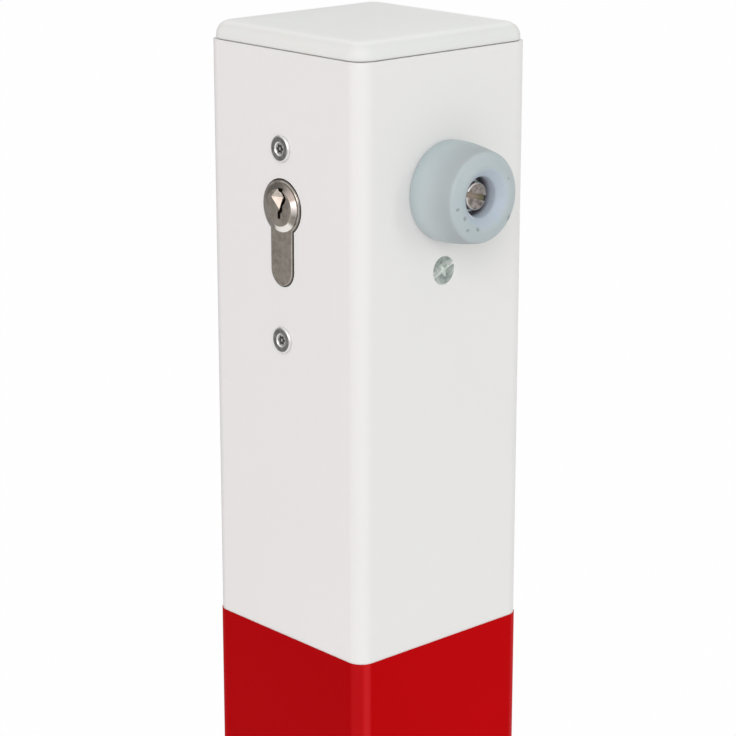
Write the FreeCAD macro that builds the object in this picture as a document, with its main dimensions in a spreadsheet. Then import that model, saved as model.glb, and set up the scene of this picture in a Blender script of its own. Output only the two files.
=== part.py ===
import FreeCAD, Part
import math
import os
from types import SimpleNamespace

import Sketcher
from FreeCAD import Placement, Rotation, Vector

# Fold-down parking post: a square steel tube that folds about a bolt in a bolted-down base and is
# held upright by a key-operated bolt. Millimetres. The origin is the centre of the base plate's
# underside, +Z is up, -Y is the lock face, and +X is the buffer face that folds to the ground.

SIZES = {
    # Post tube
    "post_height": 900,
    "tube_side": 70,
    "tube_wall": 3,
    "tube_corner": 5,
    "foot_gap": 0.5,
    "relief_clear": 1,
    # Plug-in cap
    "cap_height": 6,
    "cap_side": 69.4,
    "cap_corner": 6,
    "cap_round": 4.4,
    "cap_under": 0.8,
    "cap_gap": 0.4,
    "skirt_depth": 15,
    "skirt_gap": 0.9,
    "skirt_wall": 2,
    "rib_gap": 0.2,
    "rib_thick": 1,
    "rib_pitch": 4,
    # Red film
    "band_drop": 186.5,
    "band_height": 186.5,
    "film_thick": 0.2,
    "film_gap": 0.05,
    # Base plate and hinge cheeks
    "base_length": 200,
    "base_width": 140,
    "base_thick": 8,
    "base_corner": 12,
    "base_edge": 1,
    "anchor_hole": 14,
    "anchor_pitch_x": 160,
    "anchor_pitch_y": 100,
    "cheek_thick": 8,
    "cheek_foot": 92,
    "cheek_top": 46,
    "cheek_height": 58,
    "cheek_round": 20,
    "cheek_gap": 1.5,
    "weld_leg": 5,
    "weld_curve": 7.5,
    # Pivot
    "pivot_offset": 14,
    "pivot_dia": 12,
    "pivot_play": 0.05,
    "cheek_hole_play": 0.5,
    "hex_flats": 18,
    "hex_head": 7.5,
    "hex_round": 1,
    "nut_height": 10,
    "nut_collar": 3,
    "bolt_end": 3,
    "washer_dia": 24,
    "washer_thick": 2.5,
    "thrust_dia": 34,
    "thrust_thick": 1.2,
    "thrust_play": 0.2,
    "sleeve_dia": 20,
    "sleeve_play": 0.1,
    # Rubber buffer and its fixing
    "buffer_drop": 41.6,
    "buffer_height": 19,
    "buffer_base": 30.4,
    "buffer_wide": 31.2,
    "buffer_wide_at": 3,
    "buffer_front": 28.4,
    "buffer_round": 5.2,
    "buffer_foot_curve": 20,
    "buffer_side_curve": 76,
    "buffer_mouth": 12,
    "dish_depth": 4.4,
    "crest_round": 1.2,
    "buffer_seat": 9,
    "screw_dia": 5,
    "screw_play": 0.25,
    "buffer_screw_head": 8.5,
    "buffer_screw_rise": 3.3,
    "buffer_screw_length": 22,
    "slot_width": 1.2,
    "slot_depth": 1.4,
    "small_washer_dia": 10,
    "small_washer_thick": 1,
    "rivet_dia": 7,
    "rivet_flange": 10,
    "rivet_flange_thick": 1,
    "rivet_bulge": 9.4,
    "rivet_bulge_length": 4,
    "rivet_length": 12,
    "rivet_play": 0.1,
    # Profile cylinder
    "lock_drop": 47.5,
    "cylinder_front": 35,
    "cylinder_rear": 10,
    "cylinder_round": 17,
    "cylinder_stem": 10,
    "cylinder_height": 33,
    "cylinder_proud": 0.5,
    "cylinder_edge": 0.4,
    "cutout_play": 0.35,
    "plug_dia": 13,
    "plug_play": 0.05,
    "plug_proud": 0.95,
    "plug_head": 15.2,
    "plug_head_gap": 0.1,
    "plug_head_rim": 0.2,
    "plug_bevel": 1.8,
    "plug_bevel_curve": 3,
    "plug_tail": 1.8,
    "funnel_dia": 6.2,
    "funnel_depth": 1.3,
    "funnel_rise": 2.6,
    "keyway_depth": 26,
    "keyway_width": 2.2,
    "keyway_step": 1.1,
    "keyway_above": 6,
    "keyway_below": 2.7,
    "keyway_jog_high": 1,
    "keyway_jog_low": 0.5,
    "keyway_slope": 1.3,
    "cam_dia": 16,
    "cam_wide": 9.8,
    "cam_side_play": 0.2,
    "cam_reach": 15,
    "cam_width": 7.6,
    "bridge_drop": 15.6,
    "fixing_drop": 19,
    "fixing_length": 40,
    "fixing_head": 8.8,
    "cross_length": 4.6,
    "clip_dia": 15.4,
    "clip_thick": 1,
    "clip_groove": 0.9,
    # Bracket behind the lock face
    "security_above": 18,
    "security_below": 41.6,
    "security_length": 12,
    "security_dia": 4,
    "security_head": 8.3,
    "security_rise": 1,
    "security_edge": 0.6,
    "recess_dish": 4.4,
    "recess_sink": 0.3,
    "recess_core": 2.3,
    "recess_lobe": 0.7,
    "recess_ring": 2.4,
    "recess_pin": 1,
    "recess_depth": 1.5,
    "bracket_sheet": 2.5,
    "bracket_bend": 1.5,
    "bracket_above": 27,
    "bracket_below": 54,
    "bracket_reach": 13,
    "bracket_gap": 0.1,
    "flange_gap": 0.5,
    "weld_nut_flats": 8,
    "weld_nut_height": 4,
    # Slide, rod and locking bolt
    "bolt_offset": 14,
    "slide_thick": 4,
    "slide_inner": 12,
    "slide_outer": 27,
    "slide_above": 28,
    "slide_shoulder": 32,
    "slide_below": 64,
    "slide_round": 1.5,
    "notch_clear": 1.2,
    "notch_play": 1.4,
    "tail_width": 9,
    "guide_pin_dia": 6,
    "guide_pin_head": 11,
    "guide_pin_rise": 2,
    "guide_pin_offset": 20,
    "guide_pin_above": 20,
    "guide_pin_below": 24,
    "pin_play": 0.05,
    "slot_play": 0.3,
    "rod_dia": 10,
    "rod_drop": 37,
    "rod_pin_dia": 5,
    "rod_pin_drop": 50,
    "rod_pin_inset": 0.3,
    "fork_play": 0.15,
    "fork_below": 66,
    "bolt_dia": 16,
    "bolt_length": 110,
    "bolt_lift": 14,
    "bolt_point": 2,
    "bolt_play": 0.25,
    "keeper_play": 0.75,
    "socket_depth": 20,
    "socket_play": 0.1,
    "guide_thick": 6,
    "guide_fit": 0.2,
    "guide_low": 12,
    "guide_high": 82,
}

doc = FreeCAD.newDocument("fold_down_post")
sheet = doc.addObject("Spreadsheet::Sheet", "sizes")
for row, (name, number) in enumerate(SIZES.items(), start=1):
    sheet.set(f"A{row}", name)
    sheet.set(f"B{row}", str(number))
    sheet.setAlias(f"B{row}", name)
doc.recompute()


class Size:
    """A length: its number, and the sheet expression that it is bound to."""

    def __init__(self, number, text):
        self.number = number
        self.text = text

    def __add__(self, other):
        other = as_size(other)
        return Size(self.number + other.number, f"({self.text} + {other.text})")

    def __radd__(self, other):
        return as_size(other) + self

    def __sub__(self, other):
        other = as_size(other)
        return Size(self.number - other.number, f"({self.text} - {other.text})")

    def __rsub__(self, other):
        return as_size(other) - self

    def __mul__(self, other):
        other = as_size(other)
        return Size(self.number * other.number, f"({self.text} * {other.text})")

    def __rmul__(self, other):
        return as_size(other) * self

    def __truediv__(self, other):
        other = as_size(other)
        return Size(self.number / other.number, f"({self.text} / {other.text})")

    def __neg__(self):
        return Size(-self.number, f"(-{self.text})")


def as_size(value):
    return value if isinstance(value, Size) else Size(value, f"({value})")


def root(value):
    return Size(math.sqrt(value.number), f"sqrt({value.text})")


def larger(first, second):
    return Size(max(first.number, second.number), f"max({first.text}; {second.text})")


def bind(thing, path, value):
    thing.setExpression(path, as_size(value).text)


s = SimpleNamespace(**{name: Size(number, f"sizes.{name}") for name, number in SIZES.items()})

# Places that several pieces share
half = s.tube_side / 2
inside = half - s.tube_wall
tube_top = s.post_height - s.cap_height - s.cap_gap
tube_foot = s.base_thick + s.foot_gap
pivot_z = half + s.buffer_height - s.pivot_offset
cheek_face = half + s.cheek_gap
washer_face = cheek_face + s.cheek_thick
nut_face = washer_face + s.washer_thick
lock_y = s.cylinder_front - half - s.cylinder_proud
lock_z = tube_top - s.lock_drop
buffer_z = tube_top - s.buffer_drop
flange_near = larger(s.cam_wide, s.rod_dia) / 2 + s.flange_gap
screw_hole = s.screw_dia / 2 + s.screw_play
security_hole = s.security_dia / 2 + s.screw_play
# The cam swings from 45 degrees above level to 45 degrees below and carries the slide with it.
throw = s.cam_reach * round(math.sqrt(2), 6)
HEX_CORNER = round(1 / math.sqrt(3), 6)

UPRIGHT = Rotation()
# Local Z points out of the lock face, with local X to the right and local Y up.
LOCK_FACE = Rotation(Vector(1, 0, 0), 90)
# Local Z points out of the buffer face, with local Y up.
BUFFER_FACE = Rotation(Vector(1, 1, 1), 120)

pieces = []


def new_body(label, x=0, y=0, z=0, rotation=UPRIGHT):
    body = doc.addObject("PartDesign::Body", label)
    body.Label = label
    body.Placement = Placement(Vector(), rotation)
    for axis, value in (("x", x), ("y", y), ("z", z)):
        bind(body, f"Placement.Base.{axis}", value)
    return body


def piece(label, x=0, y=0, z=0, rotation=UPRIGHT):
    body = new_body(label, x, y, z, rotation)
    pieces.append(body)
    return body


def group(label, bodies):
    compound = doc.addObject("Part::Compound", label)
    compound.Label = label
    compound.Links = bodies
    pieces.append(compound)


def new_sketch(body, plane="XY_Plane", lift=0):
    sketch = body.newObject("Sketcher::SketchObject", body.Name + "_sketch")
    support = next(p for p in body.Origin.OriginFeatures if p.Role == plane)
    sketch.AttachmentSupport = (support, [""])
    sketch.MapMode = "FlatFace"
    bind(sketch, "AttachmentOffset.Base.z", lift)
    return sketch


def fix(sketch, kind, value, *where):
    index = sketch.addConstraint(Sketcher.Constraint(kind, *where, value.number))
    sketch.setExpression(f"Constraints[{index}]", value.text)


def arc_between(start, end, radius):
    """The short arc from start to end, turning left if the radius is positive."""
    chord = end - start
    left = Vector(-chord.y, chord.x, 0).normalize()
    rise = math.sqrt(max(radius ** 2 - (chord.Length / 2) ** 2, 0))
    centre = (start + end) * 0.5 + left * math.copysign(rise, radius)
    first, last = (start, end) if radius > 0 else (end, start)
    angles = [math.atan2(p.y - centre.y, p.x - centre.x) for p in (first, last)]
    circle = Part.Circle(centre, Vector(0, 0, 1), abs(radius))
    return Part.ArcOfCircle(circle, *angles), (1, 2) if radius > 0 else (2, 1)


def outline(sketch, *steps):
    """A closed loop. Each step is the next corner, with the radius of the arc that leads to it,
    positive to turn left and negative to turn right, or with none for a straight line."""
    corners = [tuple(as_size(value) for value in step) for step in steps]
    points = [Vector(corner[0].number, corner[1].number, 0) for corner in corners]
    edges = []
    for start, end, corner in zip(points[-1:] + points[:-1], points, corners):
        if len(corner) == 2:
            shape, ends = Part.LineSegment(start, end), (1, 2)
        else:
            shape, ends = arc_between(start, end, corner[2].number)
        edges.append((sketch.addGeometry(shape, False), ends))
    for (edge, ends), (after, after_ends), corner in zip(edges, edges[1:] + edges[:1], corners):
        sketch.addConstraint(Sketcher.Constraint("Coincident", edge, ends[1], after, after_ends[0]))
        fix(sketch, "DistanceX", corner[0], -1, 1, edge, ends[1])
        fix(sketch, "DistanceY", corner[1], -1, 1, edge, ends[1])
        if len(corner) == 3:
            fix(sketch, "Radius", corner[2] if corner[2].number > 0 else -corner[2], edge)


def circle(sketch, radius, x=0, y=0):
    radius, x, y = as_size(radius), as_size(x), as_size(y)
    centre = Vector(x.number, y.number, 0)
    edge = sketch.addGeometry(Part.Circle(centre, Vector(0, 0, 1), radius.number), False)
    fix(sketch, "DistanceX", x, -1, 1, edge, 3)
    fix(sketch, "DistanceY", y, -1, 1, edge, 3)
    fix(sketch, "Radius", radius, edge)


def rounded_box(sketch, width, depth, corner):
    w, d = width / 2, depth / 2
    outline(
        sketch,
        (w - corner, -d),
        (w, corner - d, corner),
        (w, d - corner),
        (w - corner, d, corner),
        (corner - w, d),
        (-w, d - corner, corner),
        (-w, corner - d),
        (corner - w, -d, corner),
    )


def hexagon(sketch, flats):
    corners = [math.radians(60 * k) for k in range(6)]
    reach = flats * HEX_CORNER
    outline(sketch, *[(reach * round(math.cos(a), 6), reach * round(math.sin(a), 6)) for a in corners])


def upright_slot(sketch, x, low, high, radius):
    outline(
        sketch,
        (x + radius, high),
        (x, high + radius, radius),
        (x - radius, high, radius),
        (x - radius, low),
        (x, low - radius, radius),
        (x + radius, low, radius),
    )


def cylinder_profile(sketch, play=0, y=0):
    """The keyhole-shaped section of a profile cylinder: a round head over a rounded stem."""
    r = s.cylinder_round / 2 + play
    w = s.cylinder_stem / 2 + play
    low = s.cylinder_round / 2 - s.cylinder_height - play
    join = root(r * r - w * w)
    outline(
        sketch,
        (w, y - join),
        (r, as_size(y), r),
        (0, y + r, r),
        (-r, as_size(y), r),
        (-w, y - join, r),
        (-w, y + low + w),
        (0, y + low, w),
        (w, y + low + w, w),
    )


def feature(body, kind, profile):
    made = body.newObject("PartDesign::" + kind, f"{body.Name}_{kind.lower()}")
    made.Profile = profile
    return made


def pad(body, sketch, length, both=False):
    made = feature(body, "Pad", sketch)
    made.Midplane = both
    bind(made, "Length", length)
    return made


def pocket(body, sketch, depth=None, both=False, outward=False):
    """A cut against the sketch's normal, or along it if outward; with no depth it goes through."""
    made = feature(body, "Pocket", sketch)
    made.Midplane = both
    made.Reversed = outward
    if depth is None:
        made.Type = "ThroughAll"
    else:
        bind(made, "Length", depth)
    return made


def revolve(body, *steps, kind="Revolution", lift=0):
    """A turned shape: the steps give its half section as radius and height."""
    sketch = new_sketch(body, "XZ_Plane", lift)
    outline(sketch, *steps)
    made = feature(body, kind, sketch)
    made.ReferenceAxis = (sketch, ["V_Axis"])
    made.Angle = 360
    return made


def edge_names(base, test):
    doc.recompute()
    return [f"Edge{i}" for i, edge in enumerate(base.Shape.Edges, start=1) if test(edge)]


def dress(body, kind, base, test, size):
    """A fillet or chamfer on the edges of the base feature that pass the test."""
    made = body.newObject("PartDesign::" + kind, f"{body.Name}_{kind.lower()}")
    made.Base = (base, edge_names(base, test))
    bind(made, "Radius" if kind == "Fillet" else "Size", size)
    return made


def level_at(height):
    """Tests whether an edge lies flat at one height of the body."""
    def test(edge):
        box = edge.BoundBox
        return abs(box.ZMin - height.number) < 0.01 and abs(box.ZMax - height.number) < 0.01
    return test


def upright_near(*places):
    """Tests whether a straight upright edge stands at one of the places."""
    def test(edge):
        box = edge.BoundBox
        upright = box.XLength < 0.01 and box.YLength < 0.01
        near = [math.hypot(box.XMin - x.number, box.YMin - y.number) < 0.01 for x, y in places]
        return upright and any(near)
    return test


def ring(label, outer, inner, thick, **place):
    body = new_body(label, **place)
    sketch = new_sketch(body)
    circle(sketch, outer)
    circle(sketch, inner)
    pad(body, sketch, thick)
    return body


# Base plate: flat steel with rounded corners, an anchor hole near each and the keeper hole
base_plate = piece("base_plate")
sketch = new_sketch(base_plate)
rounded_box(sketch, s.base_length, s.base_width, s.base_corner)
for side_x in (-0.5, 0.5):
    for side_y in (-0.5, 0.5):
        circle(sketch, s.anchor_hole / 2, s.anchor_pitch_x * side_x, s.anchor_pitch_y * side_y)
circle(sketch, s.bolt_dia / 2 + s.keeper_play, -s.bolt_offset, lock_y)
plate = pad(base_plate, sketch, s.base_thick)
top_rim = level_at(s.base_thick)
dress(
    base_plate, "Chamfer", plate,
    lambda edge: top_rim(edge) and not edge.isClosed(),
    s.base_edge,
)

# Hinge cheeks: tapered plates that stand on the base plate and carry the pivot bolt
for label, face in (("hinge_cheek_left", -cheek_face), ("hinge_cheek_right", washer_face)):
    cheek = piece(label, s.pivot_offset, face, s.base_thick, LOCK_FACE)
    sketch = new_sketch(cheek)
    outline(
        sketch,
        (s.cheek_foot / 2, 0),
        (s.cheek_top / 2, s.cheek_height),
        (-s.cheek_top / 2, s.cheek_height),
        (-s.cheek_foot / 2, 0),
    )
    circle(sketch, s.pivot_dia / 2 + s.cheek_hole_play, 0, pivot_z - s.base_thick)
    slab = pad(cheek, sketch, s.cheek_thick)
    shoulders = [(s.cheek_top / 2 * side, s.cheek_height) for side in (-1, 1)]
    dress(cheek, "Fillet", slab, upright_near(*shoulders), s.cheek_round)

# Fillet welds along the outer foot of each cheek
seams = []
for label, side in (("weld_left", -1), ("weld_right", 1)):
    seam = new_body(label, s.pivot_offset, washer_face * side, s.base_thick)
    sketch = new_sketch(seam, "YZ_Plane")
    outline(sketch, (0, 0), (s.weld_leg * side, 0), (0, s.weld_leg, s.weld_curve * side))
    pad(seam, sketch, s.cheek_foot - s.weld_leg, both=True)
    seams.append(seam)
group("weld_seams", seams)

# Pivot bolt: hexagon head on the lock side, threaded end and locking nut on the far side
pivot_bolt = piece("pivot_bolt", s.pivot_offset, -nut_face, pivot_z, LOCK_FACE)
sketch = new_sketch(pivot_bolt)
hexagon(sketch, s.hex_flats)
pad(pivot_bolt, sketch, s.hex_head)
corner = s.hex_flats * HEX_CORNER
revolve(
    pivot_bolt,
    (corner - s.hex_round * 2, s.hex_head),
    (corner, s.hex_head - s.hex_round),
    (corner, s.hex_head),
    kind="Groove",
)
shank = nut_face * 2 + s.nut_height + s.nut_collar + s.bolt_end
shank_r = s.pivot_dia / 2
revolve(
    pivot_bolt,
    (0, -shank),
    (shank_r - s.hex_round, -shank),
    (shank_r, s.hex_round - shank),
    (shank_r, 0),
    (0, 0),
)

# Locking nut: a hexagon with the round collar that grips the thread
pivot_nut = piece("pivot_nut", s.pivot_offset, nut_face, pivot_z, LOCK_FACE)
nut_bore = s.pivot_dia / 2 + s.sleeve_play
sketch = new_sketch(pivot_nut, lift=-s.nut_height)
hexagon(sketch, s.hex_flats)
circle(sketch, nut_bore)
pad(pivot_nut, sketch, s.nut_height)
sketch = new_sketch(pivot_nut, lift=-s.nut_height - s.nut_collar)
circle(sketch, s.hex_flats / 2 - s.hex_round)
circle(sketch, nut_bore)
pad(pivot_nut, sketch, s.nut_collar)

# Steel washers under head and nut, and plastic thrust washers between post and cheeks
loose = s.pivot_dia / 2 + s.thrust_play
thrust_face = cheek_face - s.thrust_thick
washer_places = {
    "pivot_washers": (s.washer_dia / 2, s.washer_thick, (-washer_face, nut_face)),
    "thrust_washers": (s.thrust_dia / 2, s.thrust_thick, (-thrust_face, cheek_face)),
}
for label, (radius, thick, faces) in washer_places.items():
    place = {"x": s.pivot_offset, "z": pivot_z, "rotation": LOCK_FACE}
    group(label, [ring(f"{label}_disc", radius, loose, thick, y=face, **place) for face in faces])

# Post tube: square, with rounded corners. Its foot is relieved on the side that it folds to.
post_tube = piece("post_tube")
sketch = new_sketch(post_tube, lift=tube_foot)
rounded_box(sketch, s.tube_side, s.tube_side, s.tube_corner)
rounded_box(sketch, inside * 2, inside * 2, s.tube_corner - s.tube_wall)
pad(post_tube, sketch, tube_top - tube_foot)
wall_cut = s.tube_wall * 1.5

lock_cuts = new_sketch(post_tube, "XZ_Plane", half)
cylinder_profile(lock_cuts, s.cutout_play, lock_z)
circle(lock_cuts, security_hole, 0, lock_z + s.security_above)
circle(lock_cuts, security_hole, 0, lock_z - s.security_below)
pocket(post_tube, lock_cuts, wall_cut)

buffer_cuts = new_sketch(post_tube, "YZ_Plane", half)
circle(buffer_cuts, s.rivet_dia / 2 + s.rivet_play, 0, buffer_z)
circle(buffer_cuts, screw_hole, lock_y, lock_z - s.fixing_drop)
pocket(post_tube, buffer_cuts, wall_cut)

pivot_cuts = new_sketch(post_tube, "XZ_Plane")
circle(pivot_cuts, s.sleeve_dia / 2 + s.sleeve_play, s.pivot_offset, pivot_z)
pocket(post_tube, pivot_cuts, both=True)

swing = pivot_z - tube_foot
front = half - s.pivot_offset
relief = swing - root(swing * swing - front * front) + s.relief_clear
past = front + s.tube_corner
foot_cut = new_sketch(post_tube, "XZ_Plane")
outline(
    foot_cut,
    (s.pivot_offset, tube_foot - s.foot_gap),
    (s.pivot_offset + past, tube_foot - s.foot_gap),
    (s.pivot_offset + past, tube_foot + relief * past / front),
    (s.pivot_offset, tube_foot),
)
foot = pocket(post_tube, foot_cut, both=True)


def fixing_hole_rim(edge):
    centre = edge.BoundBox.Center
    outer = abs(centre.x - half.number) < 0.01
    return outer and edge.isClosed() and abs(centre.z - (lock_z - s.fixing_drop).number) < 0.01


dress(post_tube, "Chamfer", foot, fixing_hole_rim, s.fixing_head / 2 - s.screw_dia / 2)

# Sleeve welded across the foot, which turns on the pivot bolt
group("pivot_sleeve", [ring(
    "pivot_sleeve_tube", s.sleeve_dia / 2, s.pivot_dia / 2 + s.pivot_play, s.tube_side,
    x=s.pivot_offset, y=half, z=pivot_z, rotation=LOCK_FACE,
)])

# Guide plates welded inside the foot
plates = []
for label, height in (("guide_lower", s.guide_low), ("guide_upper", s.guide_high)):
    guide = new_body(label, z=s.base_thick + height)
    sketch = new_sketch(guide)
    side = (inside - s.guide_fit) * 2
    rounded_box(sketch, side, side, s.tube_corner - s.tube_wall + s.guide_fit * 2)
    circle(sketch, s.bolt_dia / 2 + s.bolt_play, -s.bolt_offset, lock_y)
    pad(guide, sketch, s.guide_thick)
    plates.append(guide)
group("bolt_guides", plates)

# Cap: moulded plastic with soft edges, on a hollow skirt with ribs that grip the tube
cap = piece("top_cap", z=tube_top + s.cap_gap)
sketch = new_sketch(cap)
rounded_box(sketch, s.cap_side, s.cap_side, s.cap_corner)
lid = pad(cap, sketch, s.cap_height)
soft = dress(cap, "Fillet", lid, level_at(s.cap_height), s.cap_round)
dress(cap, "Fillet", soft, level_at(as_size(0)), s.cap_under)
skirt = inside - s.skirt_gap
skirt_inner = skirt - s.skirt_wall
drop = s.skirt_depth + s.cap_gap
sketch = new_sketch(cap, lift=-drop)
rounded_box(sketch, skirt * 2, skirt * 2, s.cap_corner)
rounded_box(sketch, skirt_inner * 2, skirt_inner * 2, s.cap_corner - s.skirt_wall)
pad(cap, sketch, drop)
rib = inside - s.rib_gap
for k in range(3):
    sketch = new_sketch(cap, lift=s.rib_pitch * k + s.rib_thick - drop)
    rounded_box(sketch, rib * 2, rib * 2, s.cap_corner)
    rounded_box(sketch, skirt * 2 - s.skirt_wall, skirt * 2 - s.skirt_wall, s.cap_corner - s.skirt_wall / 2)
    pad(cap, sketch, s.rib_thick)

# Red film wrapped round the tube in two bands, with a white stretch of the same height between
film_in = half + s.film_gap
film_out = film_in + s.film_thick
for label, steps in (("red_band_upper", 1), ("red_band_lower", 3)):
    band = piece(label, z=tube_top - s.band_drop - s.band_height * steps)
    sketch = new_sketch(band)
    rounded_box(sketch, film_out * 2, film_out * 2, s.tube_corner + s.film_gap + s.film_thick)
    rounded_box(sketch, film_in * 2, film_in * 2, s.tube_corner + s.film_gap)
    pad(band, sketch, s.band_height)

# Rubber buffer: a turned shape with a bulging side and a soft rim, dished to a deep screw recess
buffer_place = {"x": half, "z": buffer_z, "rotation": BUFFER_FACE}
buffer = piece("rubber_buffer", **buffer_place)
flange_r = s.rivet_flange / 2 + s.screw_play
flange_h = s.rivet_flange_thick + s.screw_play
front_r = s.buffer_front / 2
mouth_r = s.buffer_mouth / 2
tall = s.buffer_height
crest_r = front_r - s.buffer_round
# The dish leaves the rim's crest at 60 degrees, whose sine is half the root of three.
crest_in = crest_r - s.crest_round * root(as_size(3)) / 2
revolve(
    buffer,
    (flange_r, 0),
    (s.buffer_base / 2, 0),
    (s.buffer_wide / 2, s.buffer_wide_at, s.buffer_foot_curve),
    (front_r, tall - s.buffer_round, s.buffer_side_curve),
    (crest_r, tall, s.buffer_round),
    (crest_in, tall - s.crest_round / 2, s.crest_round),
    (mouth_r, tall - s.dish_depth),
    (mouth_r, s.buffer_seat),
    (screw_hole, s.buffer_seat),
    (screw_hole, flange_h),
    (flange_r, flange_h),
)

group("buffer_washer", [ring(
    "buffer_washer_disc", s.small_washer_dia / 2, screw_hole, s.small_washer_thick,
    x=half + s.buffer_seat, z=buffer_z, rotation=BUFFER_FACE,
)])

# Slotted cheese-head screw at the bottom of the recess
head_seat = s.buffer_seat + s.small_washer_thick
buffer_slot_turn = Rotation(Vector(0, 0, 1), -11)
buffer_screw = piece("buffer_screw", half + head_seat, 0, buffer_z, BUFFER_FACE * buffer_slot_turn)
head_r = s.buffer_screw_head / 2
rise = s.buffer_screw_rise
edge_r = s.slot_width / 2
revolve(
    buffer_screw,
    (0, -s.buffer_screw_length),
    (s.screw_dia / 2, -s.buffer_screw_length),
    (s.screw_dia / 2, 0),
    (head_r, 0),
    (head_r, rise - edge_r),
    (head_r - edge_r, rise, edge_r),
    (0, rise),
)
sketch = new_sketch(buffer_screw, lift=rise)
outline(
    sketch,
    (head_r * 2, -s.slot_width / 2),
    (head_r * 2, s.slot_width / 2),
    (-head_r * 2, s.slot_width / 2),
    (-head_r * 2, -s.slot_width / 2),
)
pocket(buffer_screw, sketch, s.slot_depth)

# Blind rivet nut set in the wall: its flange lies outside, its bulge grips the inside
buffer_nut = piece("buffer_nut", **buffer_place)
rivet_r = s.rivet_dia / 2
bulge_top = -s.tube_wall - s.rivet_play
bulge_low = bulge_top - s.rivet_bulge_length
revolve(
    buffer_nut,
    (s.screw_dia / 2 + s.rivet_play, s.rivet_flange_thick),
    (s.screw_dia / 2 + s.rivet_play, -s.rivet_length),
    (rivet_r, -s.rivet_length),
    (rivet_r, bulge_low),
    (s.rivet_bulge / 2, (bulge_low + bulge_top) / 2),
    (s.rivet_bulge / 2, bulge_top),
    (rivet_r, bulge_top),
    (rivet_r, 0),
    (s.rivet_flange / 2, 0),
    (s.rivet_flange / 2, s.rivet_flange_thick),
)

# Security screws: low heads with a round edge, dished to a six-lobe recess round a pin
screws = []
nuts = []
head_r = s.security_head / 2
dish_r = s.recess_dish / 2
dish_floor = s.security_rise - s.recess_sink
for label, height in (("upper", s.security_above), ("lower", -s.security_below)):
    screw = new_body(f"security_screw_{label}", 0, -half, lock_z + height, LOCK_FACE)
    revolve(
        screw,
        (0, -s.security_length),
        (s.security_dia / 2, -s.security_length),
        (s.security_dia / 2, 0),
        (head_r, 0),
        (head_r, s.security_rise - s.security_edge),
        (head_r - s.security_edge, s.security_rise, s.security_edge),
        (dish_r, s.security_rise),
        (dish_r - s.recess_sink, dish_floor),
        (0, dish_floor),
    )
    sketch = new_sketch(screw, lift=dish_floor)
    circle(sketch, s.recess_core / 2)
    circle(sketch, s.recess_pin / 2)
    pocket(screw, sketch, s.recess_depth)
    sketch = new_sketch(screw, lift=dish_floor)
    for k in range(6):
        a = math.radians(60 * k)
        circle(sketch, s.recess_lobe / 2, s.recess_ring / 2 * math.cos(a), s.recess_ring / 2 * math.sin(a))
    pocket(screw, sketch, s.recess_depth)
    screws.append(screw)

    nut_y = s.tube_wall + s.bracket_gap + s.bracket_sheet + s.weld_nut_height - half
    nut = new_body(f"bracket_nut_{label}", 0, nut_y, lock_z + height, LOCK_FACE)
    sketch = new_sketch(nut)
    hexagon(sketch, s.weld_nut_flats)
    circle(sketch, s.security_dia / 2 + s.rivet_play)
    pad(nut, sketch, s.weld_nut_height)
    nuts.append(nut)
group("security_screws", screws)
group("bracket_nuts", nuts)

# Lock bracket: sheet folded to a channel. Both flanges carry the cylinder, and the rear one
# has the slots that guide the slide.
bracket = piece("lock_bracket", 0, lock_y, lock_z)
outer_bend = s.bracket_bend + s.bracket_sheet
front_out = s.bracket_gap - inside - lock_y
front_in = front_out + s.bracket_sheet
rear_in = flange_near
rear_out = flange_near + s.bracket_sheet
web_out = s.bracket_gap - inside
web_in = web_out + s.bracket_sheet
sketch = new_sketch(bracket, lift=-s.bracket_below)
outline(
    sketch,
    (s.bracket_reach, front_out),
    (web_out + outer_bend, front_out),
    (web_out, front_out + outer_bend, -outer_bend),
    (web_out, rear_out - outer_bend),
    (web_out + outer_bend, rear_out, -outer_bend),
    (s.bracket_reach, rear_out),
    (s.bracket_reach, rear_in),
    (web_in + s.bracket_bend, rear_in),
    (web_in, rear_in - s.bracket_bend, s.bracket_bend),
    (web_in, front_in + s.bracket_bend),
    (web_in + s.bracket_bend, front_in, s.bracket_bend),
    (s.bracket_reach, front_in),
)
pad(bracket, sketch, s.bracket_above + s.bracket_below)
sketch = new_sketch(bracket, "XZ_Plane")
cylinder_profile(sketch, s.cutout_play)
pocket(bracket, sketch, both=True)
sketch = new_sketch(bracket, "XZ_Plane")
circle(sketch, security_hole, 0, s.security_above)
circle(sketch, security_hole, 0, -s.security_below)
pocket(bracket, sketch, outward=True)
sketch = new_sketch(bracket, "XZ_Plane")
slot_r = s.guide_pin_dia / 2 + s.slot_play
for height in (s.guide_pin_above, -s.guide_pin_below):
    upright_slot(sketch, -s.guide_pin_offset, height - throw, height, slot_r)
pocket(bracket, sketch)

# Profile cylinder: the housing, with a gap for the cam and the thread of the fixing screw
lock_place = {"x": 0, "y": lock_y, "z": lock_z, "rotation": LOCK_FACE}
cylinder = piece("cylinder_body", **lock_place)
sketch = new_sketch(cylinder, lift=-s.cylinder_rear)
cylinder_profile(sketch)
housing = pad(cylinder, sketch, s.cylinder_front + s.cylinder_rear)
dress(cylinder, "Chamfer", housing, level_at(s.cylinder_front), s.cylinder_edge)
sketch = new_sketch(cylinder)
circle(sketch, s.plug_dia / 2 + s.plug_play)
pocket(cylinder, sketch, both=True)
sketch = new_sketch(cylinder)
cam_room = s.cylinder_round
outline(
    sketch,
    (cam_room, -s.bridge_drop),
    (cam_room, cam_room),
    (-cam_room, cam_room),
    (-cam_room, -s.bridge_drop),
)
pocket(cylinder, sketch, s.cam_wide + s.cam_side_play * 2, both=True)
sketch = new_sketch(cylinder, "YZ_Plane")
circle(sketch, s.screw_dia / 2 + s.rivet_play, -s.fixing_drop, 0)
pocket(cylinder, sketch, both=True)

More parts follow.
